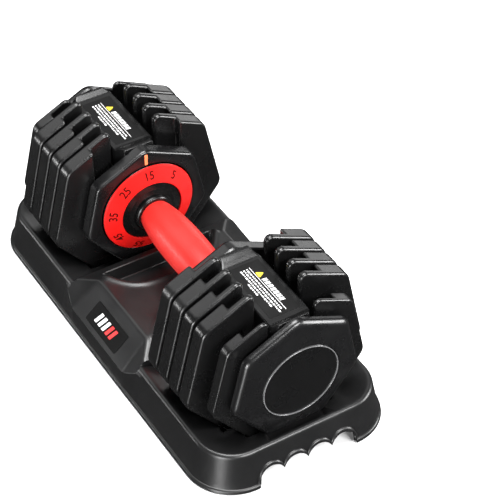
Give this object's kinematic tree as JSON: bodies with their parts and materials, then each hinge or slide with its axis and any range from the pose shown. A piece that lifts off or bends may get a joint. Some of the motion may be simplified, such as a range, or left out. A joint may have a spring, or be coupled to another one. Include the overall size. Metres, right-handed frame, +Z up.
{
  "type": "adjustable dumbbell",
  "caption": "Adjustable dumbbell seated in a storage tray: turning the grip hooks more or fewer slotted plates onto the handle core.",
  "frame": {"origin": "on the ground under the middle of the grip", "axes": "+X along the grip towards the right head, +Y across the tray, +Z up"},
  "size_m": [0.417, 0.192, 0.1704],
  "materials": {
    "tray_plastic": "black moulded plastic with a fine texture",
    "foot_rubber": "black rubber",
    "badge": "black plate with a plain white and red mark",
    "plate_coating": "iron under a black moulded plastic coating",
    "core_plastic": "black glass-filled plastic",
    "label_film": "black film with plain light marks",
    "cap_plastic": "dark satin plastic",
    "pointer_orange": "orange",
    "steel": "turned steel",
    "bearing_plastic": "natural acetal",
    "spring_steel": "spring wire",
    "grip_red": "red coating, glossy",
    "dial_black": "black plastic",
    "number_ring_red": "red plastic with dark dial numbers",
    "disc_metal": "cast zinc",
    "spacer_plastic": "black acetal"
  },
  "bodies": {
    "tray": {"tray": "tray_plastic", "tray_feet": "foot_rubber", "badge_front": "badge", "badge_rear": "badge"},
    "core": {"spine_right": "core_plastic", "spine_left": "core_plastic", "spine_label_right": "label_film", "spine_label_left": "label_film", "inner_cap_right": "cap_plastic", "inner_cap_left": "cap_plastic", "pointer_right": "pointer_orange", "pointer_left": "pointer_orange", "end_cap_right": "cap_plastic", "end_cap_left": "cap_plastic", "end_disc_right": "cap_plastic", "end_disc_left": "cap_plastic", "core_axle": "steel", "axle_nuts": "steel", "tube_bushes": "bearing_plastic", "thrust_washers": "bearing_plastic", "inner_cap_screws": "steel", "end_cap_screws": "steel", "detent_plungers": "steel", "detent_springs": "spring_steel", "lock_spring_right": "spring_steel", "lock_spring_left": "spring_steel"},
    "lock_right": {"lock_pin_right": "steel"},
    "lock_left": {"lock_pin_left": "steel"},
    "selector": {"grip": "grip_red", "grip_tube": "steel", "grip_collars": "dial_black", "dial_right": "dial_black", "dial_left": "dial_black", "number_ring_right": "number_ring_red", "number_ring_left": "number_ring_red", "selector_disc_1_right": "disc_metal", "selector_disc_2_right": "disc_metal", "selector_disc_3_right": "disc_metal", "selector_disc_4_right": "disc_metal", "selector_disc_5_right": "disc_metal", "selector_disc_1_left": "disc_metal", "selector_disc_2_left": "disc_metal", "selector_disc_3_left": "disc_metal", "selector_disc_4_left": "disc_metal", "selector_disc_5_left": "disc_metal", "disc_spacers_right": "spacer_plastic", "disc_spacers_left": "spacer_plastic"},
    "plates_1": {"plate_1_right": "plate_coating", "plate_1_left": "plate_coating"},
    "plate_2_right": {"plate_2_right": "plate_coating"},
    "plate_2_left": {"plate_2_left": "plate_coating"},
    "plate_3_right": {"plate_3_right": "plate_coating"},
    "plate_3_left": {"plate_3_left": "plate_coating"},
    "plate_4_right": {"plate_4_right": "plate_coating"},
    "plate_4_left": {"plate_4_left": "plate_coating"},
    "plate_5_right": {"plate_5_right": "plate_coating"},
    "plate_5_left": {"plate_5_left": "plate_coating"}
  },
  "joints": [
    {"name": "dumbbell_lift", "type": "slide", "parent": "tray", "child": "core", "axis": [0, 0, 1], "range_m": [0, 0.2]},
    {"name": "selector_turn", "type": "hinge", "parent": "core", "child": "selector", "pos_m": [0, 0, 0.08999], "axis": [-1, 0, 0], "range_deg": [-40, 160]},
    {"name": "plates_1_lift", "type": "slide", "parent": "tray", "child": "plates_1", "axis": [0, 0, 1], "range_m": [0, 0.2]},
    {"name": "lock_right_drop", "type": "slide", "parent": "core", "child": "lock_right", "axis": [0, 0, -1], "range_m": [0, 0.0042], "deforming": ["lock_spring_right"]},
    {"name": "lock_left_drop", "type": "slide", "parent": "core", "child": "lock_left", "axis": [0, 0, -1], "range_m": [0, 0.0042], "deforming": ["lock_spring_left"]},
    {"name": "plate_2_right_lift", "type": "slide", "parent": "tray", "child": "plate_2_right", "axis": [0, 0, 1], "range_m": [0, 0.005]},
    {"name": "plate_2_left_lift", "type": "slide", "parent": "tray", "child": "plate_2_left", "axis": [0, 0, 1], "range_m": [0, 0.005]},
    {"name": "plate_3_right_lift", "type": "slide", "parent": "tray", "child": "plate_3_right", "axis": [0, 0, 1], "range_m": [0, 0.005]},
    {"name": "plate_3_left_lift", "type": "slide", "parent": "tray", "child": "plate_3_left", "axis": [0, 0, 1], "range_m": [0, 0.005]},
    {"name": "plate_4_right_lift", "type": "slide", "parent": "tray", "child": "plate_4_right", "axis": [0, 0, 1], "range_m": [0, 0.005]},
    {"name": "plate_4_left_lift", "type": "slide", "parent": "tray", "child": "plate_4_left", "axis": [0, 0, 1], "range_m": [0, 0.005]},
    {"name": "plate_5_right_lift", "type": "slide", "parent": "tray", "child": "plate_5_right", "axis": [0, 0, 1], "range_m": [0, 0.005]},
    {"name": "plate_5_left_lift", "type": "slide", "parent": "tray", "child": "plate_5_left", "axis": [0, 0, 1], "range_m": [0, 0.005]}
  ],
  "couplings": [
    {"joint": "plates_1_lift", "follows": "dumbbell_lift", "ratio": 1},
    {"joint": "lock_right_drop", "follows": "dumbbell_lift", "ratio": 0.021},
    {"joint": "lock_left_drop", "follows": "dumbbell_lift", "ratio": 0.021}
  ]
}
